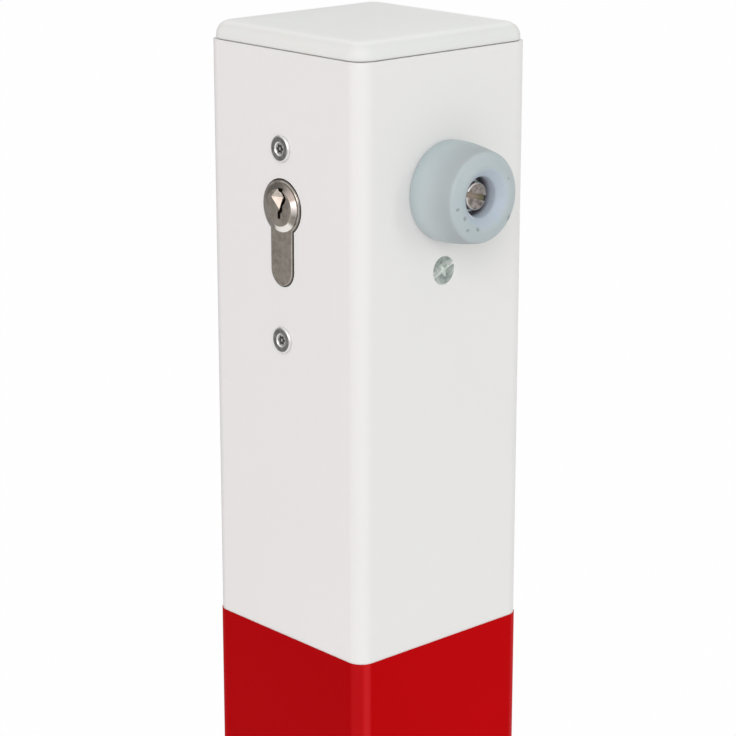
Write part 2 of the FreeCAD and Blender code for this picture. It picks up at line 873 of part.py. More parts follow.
# Plug: turned, with a proud head, a tail for the clip, and an eight-sided funnel that leads the key
# into the stepped keyway
FUNNEL_SLOPE = -45
plug = piece("cylinder_plug", **lock_place)
plug_r = s.plug_dia / 2
face = s.cylinder_front + s.plug_proud
head_seat = s.cylinder_front + s.plug_head_gap
head_r = s.plug_head / 2
clip_face = -s.cylinder_rear - s.cam_side_play
tail_end = clip_face - s.clip_thick - s.plug_tail
groove_r = plug_r - s.clip_groove
revolve(
    plug,
    (0, tail_end),
    (plug_r, tail_end),
    (plug_r, clip_face - s.clip_thick),
    (groove_r, clip_face - s.clip_thick),
    (groove_r, clip_face),
    (plug_r, clip_face),
    (plug_r, head_seat),
    (head_r, head_seat),
    (head_r, head_seat + s.plug_head_rim),
    (head_r - s.plug_bevel, face, s.plug_bevel_curve),
    (0, face),
)
sketch = new_sketch(plug, lift=face)
corners = [math.radians(45 * k) for k in range(8)]
funnel_r = s.funnel_dia / 2
outline(sketch, *[(funnel_r * math.cos(a), funnel_r * math.sin(a) + s.funnel_rise) for a in corners])
funnel = pocket(plug, sketch, s.funnel_depth)
funnel.TaperAngle = FUNNEL_SLOPE
sketch = new_sketch(plug, lift=face)
wide, step = s.keyway_width / 2, s.keyway_step
high, low = s.keyway_jog_high, -s.keyway_jog_low
outline(
    sketch,
    (-wide, s.keyway_above),
    (-wide, high + s.keyway_slope),
    (step - wide, high),
    (step - wide, low),
    (-wide, low - s.keyway_slope),
    (-wide, -s.keyway_below),
    (wide - step, -s.keyway_below),
    (wide - step, low - s.keyway_slope),
    (wide + step / 2, low),
    (wide + step / 2, high + s.keyway_slope / 2),
    (wide, high + s.keyway_slope),
    (wide, s.keyway_above),
)
pocket(plug, sketch, s.keyway_depth)

# Cam: a ring on the plug with one lever, raised 45 degrees towards the slide at rest
cam = piece("cylinder_cam", 0, lock_y, lock_z, LOCK_FACE * Rotation(Vector(0, 0, 1), 45))
ring_r, lever = s.cam_dia / 2, s.cam_width / 2
lever_foot = root(ring_r * ring_r - lever * lever)
lever_top = root(s.cam_reach * s.cam_reach - lever * lever)
sketch = new_sketch(cam)
outline(
    sketch,
    (lever, lever_top),
    (-lever, lever_top, s.cam_reach),
    (-lever, lever_foot),
    (-ring_r, 0, ring_r),
    (0, -ring_r, ring_r),
    (ring_r, 0, ring_r),
    (lever, lever_foot, ring_r),
)
circle(sketch, s.plug_dia / 2 + s.plug_play)
pad(cam, sketch, s.cam_wide, both=True)

# Open spring clip in the groove of the plug's tail
clip = piece("cylinder_clip", 0, lock_y - clip_face, lock_z, LOCK_FACE)
sketch = new_sketch(clip, lift=-s.clip_thick)
circle(sketch, s.clip_dia / 2)
circle(sketch, groove_r + s.plug_play)
pad(clip, sketch, s.clip_thick)
sketch = new_sketch(clip)
mouth = groove_r - s.clip_groove
outline(sketch, (mouth, 0), (mouth, s.clip_dia), (-mouth, s.clip_dia), (-mouth, 0))
pocket(clip, sketch, both=True)

# Long countersunk screw through the buffer face that holds the cylinder
fixing_slot_turn = Rotation(Vector(0, 0, 1), 25)
fixing = piece("cylinder_screw", half, lock_y, lock_z - s.fixing_drop, BUFFER_FACE * fixing_slot_turn)
sink = s.fixing_head / 2 - s.screw_dia / 2
sunk = s.screw_play
revolve(
    fixing,
    (0, -s.fixing_length),
    (s.screw_dia / 2, -s.fixing_length),
    (s.screw_dia / 2, -sink - sunk),
    (s.fixing_head / 2, -sunk),
    (0, -sunk),
)
thin, long_slot, short_slot = s.slot_width / 2, s.fixing_head / 2, s.cross_length / 2
for w, d in ((long_slot, thin), (thin, short_slot)):
    sketch = new_sketch(fixing)
    outline(sketch, (w, -d), (w, d), (-w, d), (-w, -d))
    pocket(fixing, sketch, s.slot_depth)

# Slide: a flat plate beside the cam, with the notch that the lever works in and a narrow tail
slide = piece("bolt_slide", **lock_place)
notch_mid = throw / 2
notch_half = s.cam_width / 2 + s.notch_play
notch_back = -s.cam_reach - s.notch_clear
tail_in = s.tail_width / 2 - s.bolt_offset
tail_out = -s.tail_width / 2 - s.bolt_offset
sketch = new_sketch(slide)
outline(
    sketch,
    (tail_in, -s.slide_below),
    (tail_in, -s.slide_shoulder),
    (-s.slide_inner, -s.slide_shoulder),
    (-s.slide_inner, notch_mid - notch_half),
    (notch_back, notch_mid - notch_half),
    (notch_back, notch_mid + notch_half),
    (-s.slide_inner, notch_mid + notch_half),
    (-s.slide_inner, s.slide_above),
    (-s.slide_outer, s.slide_above),
    (-s.slide_outer, -s.slide_shoulder),
    (tail_out, -s.slide_shoulder),
    (tail_out, -s.slide_below),
)
for height in (s.guide_pin_above, -s.guide_pin_below):
    circle(sketch, s.guide_pin_dia / 2 + s.pin_play, -s.guide_pin_offset, height)
circle(sketch, s.rod_pin_dia / 2 + s.pin_play, -s.bolt_offset, -s.rod_pin_drop)
slab = pad(slide, sketch, s.slide_thick, both=True)
lips = [(-s.slide_inner, notch_mid + notch_half * side) for side in (-1, 1)]
dress(slide, "Fillet", slab, upright_near(*lips), s.slide_round)

# Guide pins riveted in the slide; each head and collar run on either side of the rear flange
pins = []
pin_r, pin_head = s.guide_pin_dia / 2, s.guide_pin_head / 2
slide_face = s.slide_thick / 2
near = -flange_near + s.slot_play
far = -flange_near - s.bracket_sheet - s.slot_play
for label, height in (("upper", s.guide_pin_above), ("lower", -s.guide_pin_below)):
    pin = new_body(f"guide_pin_{label}", -s.guide_pin_offset, lock_y, lock_z + height, LOCK_FACE)
    revolve(
        pin,
        (0, far - s.guide_pin_rise),
        (pin_head, far - s.guide_pin_rise),
        (pin_head, far),
        (pin_r, far),
        (pin_r, near),
        (pin_head, near),
        (pin_head, -slide_face),
        (pin_r, -slide_face),
        (pin_r, slide_face),
        (0, slide_face),
    )
    pins.append(pin)
group("guide_pins", pins)

# Connecting rod: round bar with a fork sawn in its top for the tail of the slide
bolt_tip = s.base_thick + s.bolt_lift
socket_floor = bolt_tip + s.bolt_length - s.socket_depth
rod_low = socket_floor + s.socket_play
rod = piece("connecting_rod", -s.bolt_offset, lock_y, lock_z)
sketch = new_sketch(rod, lift=rod_low - lock_z)
circle(sketch, s.rod_dia / 2)
pad(rod, sketch, lock_z - s.rod_drop - rod_low)
fork = new_sketch(rod, "YZ_Plane")
fork_w = s.slide_thick / 2 + s.fork_play
outline(
    fork,
    (fork_w, -s.fork_below),
    (fork_w, s.pivot_play - s.rod_drop),
    (-fork_w, s.pivot_play - s.rod_drop),
    (-fork_w, -s.fork_below),
)
pocket(rod, fork, both=True)
sketch = new_sketch(rod, "XZ_Plane")
circle(sketch, s.rod_pin_dia / 2 + s.pin_play, 0, -s.rod_pin_drop)
pocket(rod, sketch, both=True)

rod_pin = piece("rod_pin", -s.bolt_offset, lock_y, lock_z - s.rod_pin_drop, LOCK_FACE)
sketch = new_sketch(rod_pin)
circle(sketch, s.rod_pin_dia / 2)
pad(rod_pin, sketch, s.rod_dia - s.rod_pin_inset * 2, both=True)

# Locking bolt: turned bar with a pointed end and a socket for the rod
bolt = piece("locking_bolt", -s.bolt_offset, lock_y, bolt_tip)
bolt_r = s.bolt_dia / 2
socket_r = s.rod_dia / 2 + s.socket_play
revolve(
    bolt,
    (0, 0),
    (bolt_r - s.bolt_point, 0),
    (bolt_r, s.bolt_point),
    (bolt_r, s.bolt_length - s.hex_round),
    (bolt_r - s.hex_round, s.bolt_length),
    (socket_r, s.bolt_length),
    (socket_r, s.bolt_length - s.socket_depth),
    (0, s.bolt_length - s.socket_depth),
)

doc.recompute()
faults = [o.Label for o in doc.Objects if "Invalid" in o.State or "Error" in o.State]
for made in pieces:
    if made.Shape.isNull() or not made.Shape.isValid() or not made.Shape.Solids:
        faults.append(made.Label)
if faults:
    raise SystemExit("these did not build: " + ", ".join(faults))

os.makedirs("parts", exist_ok=True)
for made in pieces:
    made.Shape.exportStep(f"parts/{made.Label}.step")
    print(f"{made.Label}: {len(made.Shape.Solids)} solids, {made.Shape.Volume:.1f} mm3")
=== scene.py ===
import math
import random

import bmesh
import bpy
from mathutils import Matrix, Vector


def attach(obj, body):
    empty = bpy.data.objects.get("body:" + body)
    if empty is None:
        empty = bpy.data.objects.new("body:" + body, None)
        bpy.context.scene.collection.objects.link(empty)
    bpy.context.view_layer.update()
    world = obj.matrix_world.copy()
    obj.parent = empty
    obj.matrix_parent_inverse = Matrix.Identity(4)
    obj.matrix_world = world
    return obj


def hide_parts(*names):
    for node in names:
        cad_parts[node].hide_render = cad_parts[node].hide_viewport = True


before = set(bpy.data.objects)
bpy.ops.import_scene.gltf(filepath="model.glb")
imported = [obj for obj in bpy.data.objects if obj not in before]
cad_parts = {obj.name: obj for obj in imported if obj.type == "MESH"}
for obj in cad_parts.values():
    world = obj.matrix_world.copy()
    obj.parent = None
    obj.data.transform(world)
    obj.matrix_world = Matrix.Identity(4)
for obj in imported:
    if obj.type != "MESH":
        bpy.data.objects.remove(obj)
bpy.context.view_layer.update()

# Base plate and hinge cheeks: flat steel plate that is bolted down through its corner holes, with two
# tapered cheeks welded on. All of it is hot-dip galvanised, so a dull spangle of zinc crystals and a
# faint white bloom lie over the steel.


class Tone:
    """A socket in a finish's nodes, so that a finish is written as sums on tones."""

    def __init__(self, tree, socket):
        self.tree = tree
        self.socket = socket

    def node(self, kind, inputs=None, out=0, **settings):
        """Adds a node: its settings first, then the values or links of its sockets."""
        made = self.tree.nodes.new("ShaderNode" + kind)
        for name, value in settings.items():
            if name == "stops":
                ramp = made.color_ramp.elements
                while len(ramp) < len(value):
                    ramp.new(1.0)
                for stop, (place, colour) in zip(ramp, value):
                    stop.position = place
                    stop.color = (*colour, 1.0)
            else:
                setattr(made, name, value)
        for key, value in (inputs or {}).items():
            if isinstance(value, Tone):
                self.tree.links.new(value.socket, made.inputs[key])
            else:
                made.inputs[key].default_value = value
        return Tone(self.tree, made.outputs[out])

    def __add__(self, other):
        return self.node("Math", {0: self, 1: other}, operation="ADD")

    def __radd__(self, other):
        return self + other

    def __sub__(self, other):
        return self.node("Math", {0: self, 1: other}, operation="SUBTRACT")

    def __rsub__(self, other):
        return self.node("Math", {0: other, 1: self}, operation="SUBTRACT")

    def __mul__(self, other):
        return self.node("Math", {0: self, 1: other}, operation="MULTIPLY")

    def __rmul__(self, other):
        return self * other


def new_finish(name):
    """A material, its shader, and the place on the piece in metres."""
    finish = bpy.data.materials.new(name)
    finish.use_nodes = True
    tree = finish.node_tree
    place = Tone(tree, tree.nodes.new("ShaderNodeTexCoord").outputs["Object"])
    return finish, tree.nodes["Principled BSDF"], place


def feed(shader, inputs):
    """Sets a shader's even values and links its varying ones."""
    for name, value in inputs.items():
        if isinstance(value, Tone):
            value.tree.links.new(value.socket, shader.inputs[name])
        else:
            shader.inputs[name].default_value = value


def grain(place, scale, detail=2.0, roughness=0.5):
    return place.node("TexNoise", {"Vector": place, "Scale": scale, "Detail": detail, "Roughness": roughness})


def axis(place, name):
    """How far a place lies along X, Y or Z."""
    return place.node("SeparateXYZ", {0: place}, out=name)


def extent(value):
    """A value without its sign."""
    return value.node("Math", {0: value}, operation="ABSOLUTE")


def hypotenuse(first, second):
    """How far apart two places lie, from their distances along two axes."""
    return first.node("Math", {0: first * first + second * second, 1: 0.5}, operation="POWER")


def ramp(value, *stops):
    return value.node("ValToRGB", {0: value}, stops=stops)


def rise(value, low, high):
    """0 below low, 1 above high, and a smooth step between."""
    return value.node(
        "MapRange", {"Value": value, "From Min": low, "From Max": high}, interpolation_type="SMOOTHSTEP"
    )


def mix(share, first, second):
    return share.node("Mix", {0: share, 6: first, 7: second}, out=2, data_type="RGBA")


def bump(height, depth, strength=1.0):
    return height.node("Bump", {"Height": height, "Distance": depth, "Strength": strength})


def dress(finish, *names):
    """Gives CAD nodes their finish."""
    for name in names:
        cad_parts[name].material_slots[0].material = finish


galvanised, shader, place = new_finish("galvanised_steel")
drift = place.node("TexNoise", {"Vector": place, "Scale": 90.0, "Detail": 3.0}, out="Color")
bent = place.node("VectorMath", {0: drift, 1: (0.012, 0.012, 0.012), 2: place}, operation="MULTIPLY_ADD")
crystal = bent.node("TexVoronoi", {"Vector": bent, "Scale": 165.0}, out="Color")
spangle = crystal.node("SeparateColor", {0: crystal})
bloom = grain(place, 22, 5, 0.6)
grey = spangle * 0.24 + bloom * 0.52 + grain(place, 130, 4, 0.6) * 0.24
feed(shader, {
    "Base Color": ramp(grey, (0.2, (0.25, 0.26, 0.27)), (0.5, (0.38, 0.39, 0.40)), (0.8, (0.52, 0.53, 0.54))),
    "Metallic": 0.7,
    "Roughness": 0.42 + spangle * 0.14,
    "Normal": bump(grain(place, 320, 4) + spangle * 0.2, 0.0001, 0.6),
})
dress(galvanised, "base_plate", "hinge_cheek_left", "hinge_cheek_right")

# Weld seams: one run of fillet weld along the outer foot of each cheek, with the close ripples that
# the melt leaves as it sets and with tapered ends. They are dipped in zinc with the plate.


def start(name, kind, **sizes):
    """Adds a primitive at its size and place, and opens it for shaping with nothing selected."""
    bpy.ops.object.select_all(action="DESELECT")
    getattr(bpy.ops.mesh, f"primitive_{kind}_add")(**sizes)
    made = bpy.context.object
    made.name = name
    bpy.ops.object.transform_apply(location=True, rotation=True, scale=True)
    bpy.ops.object.mode_set(mode="EDIT")
    bpy.ops.mesh.select_mode(type="VERT")
    bpy.ops.mesh.select_all(action="DESELECT")
    return made


def pick(made, part, test):
    """Selects the faces, edges or vertices whose middle passes a test."""
    bpy.ops.mesh.select_mode(type=part)
    bpy.ops.mesh.select_all(action="DESELECT")
    mesh = bmesh.from_edit_mesh(made.data)
    for item in {"FACE": mesh.faces, "EDGE": mesh.edges, "VERT": mesh.verts}[part]:
        corners = [item] if part == "VERT" else item.verts
        middle = sum((corner.co for corner in corners), Vector()) / len(corners)
        if test(middle):
            item.select_set(True)
    mesh.select_flush_mode()
    bmesh.update_edit_mesh(made.data)


def extrude(x, y, z):
    bpy.ops.mesh.extrude_region_move(TRANSFORM_OT_translate={"value": (x, y, z)})


def complete(made, finish, slot, body, *nodes, sharp=35.0):
    """Closes a shaped piece: smooth shading, finish, and the body and nodes it goes with."""
    bpy.ops.mesh.select_all(action="SELECT")
    bpy.ops.mesh.normals_make_consistent(inside=False)
    bpy.ops.object.mode_set(mode="OBJECT")
    bpy.ops.object.shade_smooth_by_angle(angle=math.radians(sharp))
    made.data.materials.clear()
    made.data.materials.append(finish)
    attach(made, body)
    if nodes:
        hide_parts(*nodes)


def weld_bead(name, side):
    leg, length, pitch = 0.0046, 0.087, 0.00148
    cheek_x, cheek_face, plate_top = 0.014, 0.0445, 0.008
    foot = Vector((cheek_x - length / 2, cheek_face * side, plate_top))
    bead = start(name, "circle", vertices=48, radius=leg, fill_type="NGON", location=foot,
                 rotation=(0.0, math.radians(90), 0.0))
    for normal in ((0.0, side, 0.0), (0.0, 0.0, 1.0)):
        bpy.ops.mesh.select_all(action="SELECT")
        bpy.ops.mesh.bisect(plane_co=foot, plane_no=normal, clear_inner=True)
    # The pool's front runs ahead in the middle of the bead.
    for share, ahead in ((0.30, 0.0005), (0.52, 0.0004), (0.66, 0.0003)):
        pick(bead, "VERT", lambda at: min(abs(at.y - foot.y), at.z - foot.z) > leg * share)
        bpy.ops.transform.translate(value=(ahead, 0.0, 0.0))
    bpy.ops.mesh.select_mode(type="FACE")
    bpy.ops.mesh.select_all(action="SELECT")
    pool = random.Random(11 + side)
    size = 1.0
    count = 56
    for k in range(count):
        taper = min(1.0, 0.6 + 0.1 * k, 0.6 + 0.1 * (count - 1 - k))
        for share, swell in ((0.55, 1.0), (0.45, 0.92)):
            wanted = taper * swell * pool.uniform(0.97, 1.0)
            extrude(pitch * share * pool.uniform(0.9, 1.1), 0.0, 0.0)
            bpy.ops.transform.resize(value=(1.0, wanted / size, wanted / size), center_override=foot)
            size = wanted
    return bead


for name, side in (("weld_bead_left", -1), ("weld_bead_right", 1)):
    bead = weld_bead(name, side)
    complete(bead, galvanised, "galvanised_steel", "base", "weld_seams", sharp=60.0)

# Hinge bolt, locking nut and washers: forged and turned steel, zinc plated and blue passivated. The
# bolt's far end has a rolled thread, and nylon discs keep the post clear of the cheeks.


def zinc(name, relief):
    """Zinc plate with an uneven haze, over the relief of the surface below it."""
    finish, shader, place = new_finish(name)
    haze = grain(place, 140, 4)
    dull, plain, bright = (0.46, 0.50, 0.49), (0.56, 0.60, 0.58), (0.66, 0.69, 0.66)
    feed(shader, {
        "Base Color": ramp(haze, (0.3, dull), (0.5, plain), (0.72, bright)),
        "Metallic": 1.0,
        "Roughness": 0.26 + haze * 0.2,
        "Normal": relief(place),
    })
    return finish


def fine_grain(place):
    return bump(grain(place, 900, 3), 0.00004, 0.4)


def thread(place):
    """A screw thread round the hinge bolt, from where its shank ends."""
    pivot_x, pivot_z, pitch = 0.014, 0.040, 0.00175
    across = axis(place, "X") - pivot_x
    along = axis(place, "Y")
    above = axis(place, "Z") - pivot_z
    turns = across.node("Math", {0: above, 1: across}, operation="ARCTAN2") * (0.5 / math.pi)
    turns = turns + along * (1 / pitch)
    flank = turns.node("Math", {0: turns, 1: 0.5}, operation="PINGPONG") * rise(along, 0.0465, 0.0475)
    return bump(flank * 2.0, 0.0009, 1.0)


dress(zinc("zinc_plate", fine_grain),
      "pivot_nut", "pivot_washers", "buffer_washer", "buffer_nut", "locking_bolt")
dress(zinc("zinc_thread", thread), "pivot_bolt")

nylon, shader, place = new_finish("nylon")
cloud = grain(place, 80, 3)
feed(shader, {
    "Base Color": mix(cloud, (0.70, 0.68, 0.62, 1), (0.82, 0.81, 0.76, 1)),
    "Roughness": 0.4 + cloud * 0.15,
    "Subsurface Weight": 0.1,
    "Normal": bump(grain(place, 600, 2), 0.00005, 0.4),
})
dress(nylon, "thrust_washers")

# Post tube: square welded steel tube with the lock's cut-outs, powder coated white. The coat has the
# slight waviness of baked powder and picks up street dust near its foot.
white, shader, place = new_finish("white_paint")
cloud = grain(place, 12, 3)
height = axis(place, "Z")
dust = (1.0 - rise(height, 0.0, 0.16)) * rise(grain(place, 60, 5, 0.65), 0.35, 0.75) * 0.55
coat = mix(cloud, (0.785, 0.775, 0.765, 1), (0.815, 0.808, 0.80, 1))
feed(shader, {
    "Base Color": mix(dust, coat, (0.50, 0.46, 0.40, 1)),
    "Roughness": 0.36 + cloud * 0.08 + dust * 0.3,
    "Normal": bump(grain(place, 520, 2), 0.00005, 0.35),
})
dress(white, "post_tube")

# Sleeve, guides and bracket inside the tube: plain mild steel, welded in or folded from sheet, with
# mill scale and a film of oil.
steel, shader, place = new_finish("mild_steel")
scale = grain(place, 60, 5, 0.6)
drawn = place.node("Mapping", {"Vector": place, "Scale": (900.0, 900.0, 40.0)})
lines = drawn.node("TexNoise", {"Vector": drawn, "Scale": 1.0, "Detail": 2.0})
scaled, bare, bright = (0.14, 0.135, 0.13), (0.27, 0.27, 0.275), (0.36, 0.355, 0.35)
feed(shader, {
    "Base Color": ramp(scale, (0.3, scaled), (0.55, bare), (0.8, bright)),
    "Metallic": 0.9,
    "Roughness": 0.3 + scale * 0.2 + lines * 0.1,
    "Normal": bump(grain(place, 500, 4) + lines * 0.4, 0.00007, 0.5),
})
dress(steel, "pivot_sleeve", "bolt_guides", "lock_bracket", "bracket_nuts", "cylinder_cam", "cylinder_clip",
      "bolt_slide", "guide_pins", "connecting_rod", "rod_pin")

# Red bands: self-adhesive reflective film wrapped round the tube and butted at the back. Its colour
# is painted brighter on the buffer face than on the lock face, as painted light, and paler round the
# corners, as a painted highlight.
red, shader, place = new_finish("red_film")
cloud = grain(place, 16, 3)
across = axis(place, "X")
along = axis(place, "Y")
# Lit and shaded copies of one red for the two faces: painted light.
lock_face_painted_shade_tone = mix(cloud, (0.38, 0.0015, 0.003, 1), (0.445, 0.0015, 0.0035, 1))
buffer_face_painted_light_tone = mix(cloud, (0.46, 0.0015, 0.003, 1), (0.535, 0.0015, 0.0035, 1))
buffer_half = rise(across + along, 0.0004, 0.0026)
# A painted highlight along the corners, stronger on the buffer side.
painted_corner_highlight = rise(extent(across) + extent(along), 0.0655, 0.0667) * (0.38 + buffer_half * 0.62)
painted_corner_highlight_tone = (0.55, 0.014, 0.018, 1)
feed(shader, {
    "Base Color": mix(painted_corner_highlight, mix(buffer_half, lock_face_painted_shade_tone, buffer_face_painted_light_tone), painted_corner_highlight_tone),
    "Roughness": 0.32 + cloud * 0.1,
    "Specular IOR Level": 0.01,
    "Normal": bump(grain(place, 700, 2), 0.00004, 0.3),
})
dress(red, "red_band_upper", "red_band_lower")

# Top cap: a moulded white plastic plug with soft edges and a crowned top. The top is coloured lighter
# than the sides, as painted light from above. Three ribs round its hollow skirt grip the inside of the
# tube, and the rim stays just clear of the tube's end.
cap_plastic, shader, place = new_finish("cap_plastic")
cloud = grain(place, 20, 3)
# Painted light: the top is coloured lighter than the sides.
painted_top_light_share = rise(axis(place, "Z"), 0.8979, 0.8992)
rim_tone = mix(cloud, (0.765, 0.765, 0.745, 1), (0.80, 0.80, 0.785, 1))
painted_lit_top_tone = mix(cloud, (0.872, 0.872, 0.85, 1), (0.91, 0.91, 0.893, 1))
feed(shader, {
    "Base Color": mix(painted_top_light_share, rim_tone, painted_lit_top_tone),
    "Roughness": 0.5 + cloud * 0.1,
    "Specular IOR Level": 0.2,
    "Subsurface Weight": 0.04,
    "Normal": bump(grain(place, 1600, 2), 0.00003, 0.4),
})

side, rim_z, crown_z, crown_rise = 0.0694, 0.89376, 0.9, 0.0007
corner_round, top_round, soft = 0.006, 0.0044, 0.0005
lid = crown_z - rim_z - crown_rise
cap = start("top_cap_moulding", "cube", size=1.0, scale=(side, side, lid),
            location=(0.0, 0.0, rim_z + lid / 2))
pick(cap, "EDGE", lambda at: min(abs(at.x), abs(at.y)) > side * 0.49)
bpy.ops.mesh.bevel(offset=corner_round, segments=8, affect="EDGES")
pick(cap, "EDGE", lambda at: at.z > rim_z + lid - 1e-6)
bpy.ops.mesh.bevel(offset=top_round, segments=8, affect="EDGES")
pick(cap, "EDGE", lambda at: at.z < rim_z + 1e-6)
bpy.ops.mesh.bevel(offset=soft, segments=3, affect="EDGES")
pick(cap, "FACE", lambda at: at.z > rim_z + lid - 1e-6)
for shrink, lift in ((0.92, 0.0002), (0.84, 0.0002), (0.7, 0.00018), (0.5, 0.0001)):
    extrude(0.0, 0.0, lift)
    bpy.ops.transform.resize(value=(shrink, shrink, 1.0), center_override=(0.0, 0.0, crown_z))
pick(cap, "FACE", lambda at: at.z < rim_z + 1e-6)
skirt, wall, plain_part, rib_out, rib_thick, hollow = 0.0311, 0.002, 0.0054, 0.0318, 0.001, 0.015
bpy.ops.mesh.inset(thickness=side / 2 - soft - skirt)
extrude(0.0, 0.0, -plain_part)
widen = rib_out / skirt
for gap in (0.003, 0.003, 0.001):
    extrude(0.0, 0.0, 0.0)
    bpy.ops.transform.resize(value=(widen, widen, 1.0), center_override=(0.0, 0.0, rim_z))
    extrude(0.0, 0.0, -rib_thick)
    extrude(0.0, 0.0, 0.0)
    bpy.ops.transform.resize(value=(1 / widen, 1 / widen, 1.0), center_override=(0.0, 0.0, rim_z))
    extrude(0.0, 0.0, -gap)
bpy.ops.mesh.inset(thickness=wall)
extrude(0.0, 0.0, hollow)
complete(cap, cap_plastic, "cap_plastic", "post", "top_cap")

# Rubber buffer: the stop that the folded post lies on, moulded in grey-blue rubber with a bulging
# side, a crowned front and a dished mouth over its screw. Handling has left a few dark specks on it.
face_x, buffer_z = 0.035, 0.852
rubber, shader, place = new_finish("buffer_rubber")
cloud = grain(place, 55, 3)
out_of_face = axis(place, "X")
across = axis(place, "Y")
above = axis(place, "Z") - buffer_z
radius = hypotenuse(across, above)
# The rubber is coloured in lit and shaded copies, as painted light: lighter at the foot, darker up the side
# towards the front, lighter on the crowned front and a lighter blue in the dish.
painted_lit_foot_skin = mix(cloud, (0.42, 0.50, 0.515, 1), (0.53, 0.58, 0.595, 1))
painted_shaded_side_skin = mix(cloud, (0.33, 0.39, 0.405, 1), (0.43, 0.475, 0.485, 1))
painted_lit_front_skin = mix(cloud, (0.385, 0.465, 0.485, 1), (0.475, 0.535, 0.56, 1))
painted_light_dish_skin = mix(cloud, (0.41, 0.495, 0.565, 1), (0.50, 0.56, 0.635, 1))
skin = mix(rise(out_of_face, 0.0385, 0.0500), painted_lit_foot_skin, painted_shaded_side_skin)
skin = mix(rise(out_of_face, 0.0503, 0.0511), skin, painted_lit_front_skin)
skin = mix(1.0 - rise(radius, 0.0080, 0.0096), skin, painted_light_dish_skin)
# The bore of the mouth is coloured nearly black, as painted shade.
in_mouth = (1.0 - rise(radius, 0.0060, 0.0064)) * (1.0 - rise(out_of_face, 0.0448, 0.0484))
skin = mix(in_mouth, skin, (0.11, 0.13, 0.15, 1))
# A pale broken streak on the left of the mouth's edge is a painted highlight.
mouth_edge = rise(radius, 0.0057, 0.0060) * (1.0 - rise(radius, 0.0066, 0.0072))
wear_and_glint = mouth_edge * rise(grain(place, 260, 2), 0.38, 0.48) * (1.0 - rise(across, -0.005, -0.002)) * 0.8
skin = mix(wear_and_glint, skin, (0.84, 0.86, 0.85, 1))
ragged = grain(place, 1500, 3) * 0.0014
speck = 0.0
for spot, size in (
    ((0.05179, -0.01150, 0.85020), 0.0006), ((0.05221, -0.00890, 0.84722), 0.0008),
    ((0.05188, -0.00733, 0.84330), 0.0006), ((0.05229, -0.00345, 0.84313), 0.0008),
    ((0.05146, 0.01019, 0.84462), 0.0011), ((0.05218, 0.00920, 0.85685), 0.0005),
):
    away = place.node("VectorMath", {0: place, 1: spot}, out="Value", operation="DISTANCE")
    speck = speck + (1.0 - rise(away + ragged, size * 0.2 + 0.0007, size * 1.3 + 0.0007))
feed(shader, {
    "Base Color": mix(speck * 0.58, skin, (0.12, 0.14, 0.15, 1)),
    "Roughness": 0.5 + cloud * 0.15,
    "Subsurface Weight": 0.08,
    "Normal": bump(grain(place, 900, 3) + grain(place, 160, 2) * 2.0 - speck, 0.0001, 0.4),
})


def draw(name, points, closed):
    """Draws a line through points, and closes it if it is an outline."""
    made = start(name, "plane", size=0.01)
    bpy.ops.mesh.select_all(action="SELECT")
    bpy.ops.mesh.merge(type="CENTER")
    bpy.ops.transform.translate(value=points[0])
    for here, there in zip(points, points[1:]):
        extrude(*(Vector(there) - Vector(here)))
    if closed:
        ends = Vector(points[0]), Vector(points[-1])
        pick(made, "VERT", lambda at: any((at - end).length < 1e-6 for end in ends))
        bpy.ops.mesh.edge_face_add()
    return made


def turned(name, corners, steps=96):
    """Turns a half section about the upright axis: radius, height and rounding of each corner."""
    made = draw(name, [(radius, 0.0, height) for radius, height, _ in corners], closed=corners[0][0] > 0)
    for radius, height, rounding in corners:
        if rounding:
            corner = Vector((radius, 0.0, height))
            pick(made, "VERT", lambda here: (here - corner).length < 1e-6)
            bpy.ops.mesh.bevel(offset=rounding, segments=10, affect="VERTICES")
    bpy.ops.mesh.select_all(action="SELECT")
    bpy.ops.mesh.spin(steps=steps, angle=2 * math.pi, center=(0.0, 0.0, 0.0), axis=(0.0, 0.0, 1.0))
    bpy.ops.mesh.select_all(action="SELECT")
    bpy.ops.mesh.remove_doubles(threshold=1e-6)
    bpy.ops.mesh.normals_make_consistent(inside=False)
    return made


def stand(made, place, turn):
    """Turns a finished shape and puts it in its place, with the place kept in its mesh."""
    bpy.ops.object.mode_set(mode="OBJECT")
    made.rotation_euler = turn
    made.location = place
    bpy.ops.object.transform_apply(location=True, rotation=True, scale=True)
    bpy.ops.object.mode_set(mode="EDIT")


buffer = turned("buffer_moulding", [
    (0.00525, 0.0012, 0.0), (0.00525, 0.0, 0.0), (0.0152, 0.0, 0.0005), (0.0156, 0.003, 0.0026),
    (0.0150, 0.0098, 0.003), (0.01375, 0.0161, 0.0011), (0.0093, 0.0176, 0.0015), (0.0062, 0.0147, 0.0005),
    (0.006, 0.009, 0.0), (0.00275, 0.009, 0.0), (0.00275, 0.0012, 0.0),
])
stand(buffer, (face_x, 0.0, buffer_z), (0.0, math.radians(90), 0.0))
complete(buffer, rubber, "buffer_rubber", "post", "rubber_buffer", sharp=40.0)

